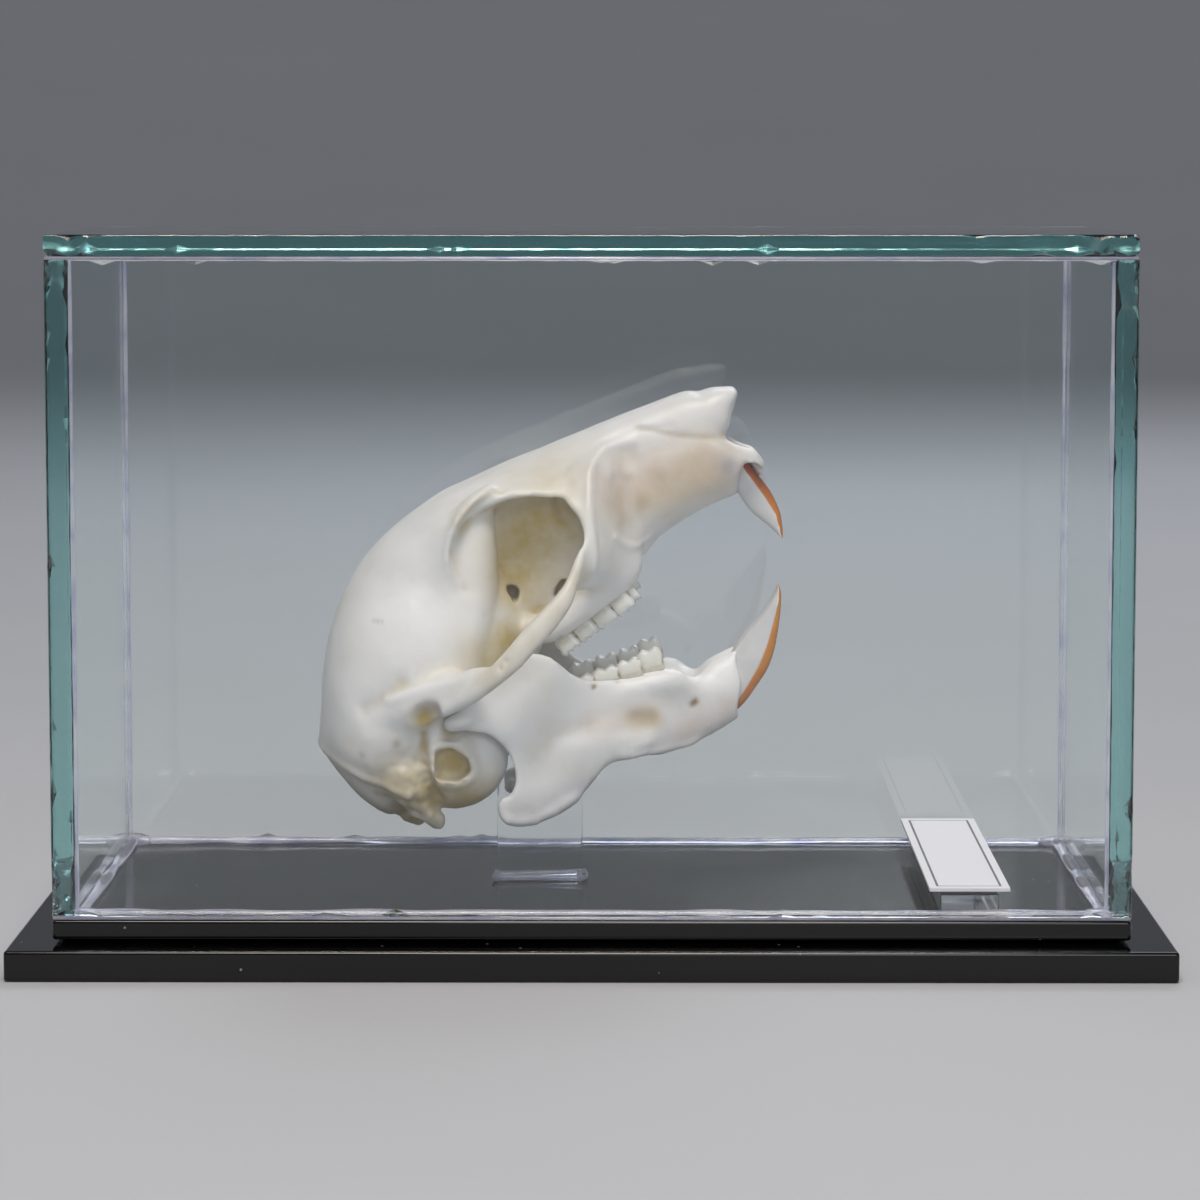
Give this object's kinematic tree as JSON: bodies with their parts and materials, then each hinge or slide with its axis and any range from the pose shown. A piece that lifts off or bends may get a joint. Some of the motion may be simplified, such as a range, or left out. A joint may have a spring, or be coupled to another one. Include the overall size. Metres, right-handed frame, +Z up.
{
  "type": "squirrel skull in a glass display case",
  "caption": "Open-jawed squirrel skull fixed on a clear strip inside a small glued glass case on a low black base, with a blank label card.",
  "frame": {"origin": "centre of the base slab's underside, on the surface that the case stands on", "axes": "+Z up, +X along the case's long side to the end that the skull's nose points to, -Y out of the front pane"},
  "size_m": [0.108, 0.056, 0.0684],
  "materials": {
    "black_acrylic": "polished black cast acrylic",
    "clear_glass": "clear float glass with blue-green edges",
    "clear_acrylic": "clear polished acrylic",
    "white_card": "matt white card",
    "dry_bone": "clean ivory-white bone, softly shining",
    "tooth_white": "white cheek-tooth enamel",
    "orange_enamel": "glossy orange incisor enamel"
  },
  "bodies": {
    "root": {"base_slab": "black_acrylic", "base_plinth": "black_acrylic", "glass_front": "clear_glass", "glass_back": "clear_glass", "glass_left": "clear_glass", "glass_right": "clear_glass", "glass_lid": "clear_glass", "skull_stand": "clear_acrylic", "label_block": "clear_acrylic", "label_card": "white_card", "cranium": "dry_bone", "mandible_right": "dry_bone", "mandible_left": "dry_bone", "upper_incisor_right": "orange_enamel", "upper_incisor_left": "orange_enamel", "lower_incisor_right": "orange_enamel", "lower_incisor_left": "orange_enamel", "upper_cheek_tooth_right_1": "tooth_white", "upper_cheek_tooth_right_2": "tooth_white", "upper_cheek_tooth_right_3": "tooth_white", "upper_cheek_tooth_right_4": "tooth_white", "upper_cheek_tooth_right_5": "tooth_white", "upper_cheek_tooth_left_1": "tooth_white", "upper_cheek_tooth_left_2": "tooth_white", "upper_cheek_tooth_left_3": "tooth_white", "upper_cheek_tooth_left_4": "tooth_white", "upper_cheek_tooth_left_5": "tooth_white", "lower_cheek_tooth_right_1": "tooth_white", "lower_cheek_tooth_right_2": "tooth_white", "lower_cheek_tooth_right_3": "tooth_white", "lower_cheek_tooth_right_4": "tooth_white", "lower_cheek_tooth_left_1": "tooth_white", "lower_cheek_tooth_left_2": "tooth_white", "lower_cheek_tooth_left_3": "tooth_white", "lower_cheek_tooth_left_4": "tooth_white"}
  },
  "joints": []
}
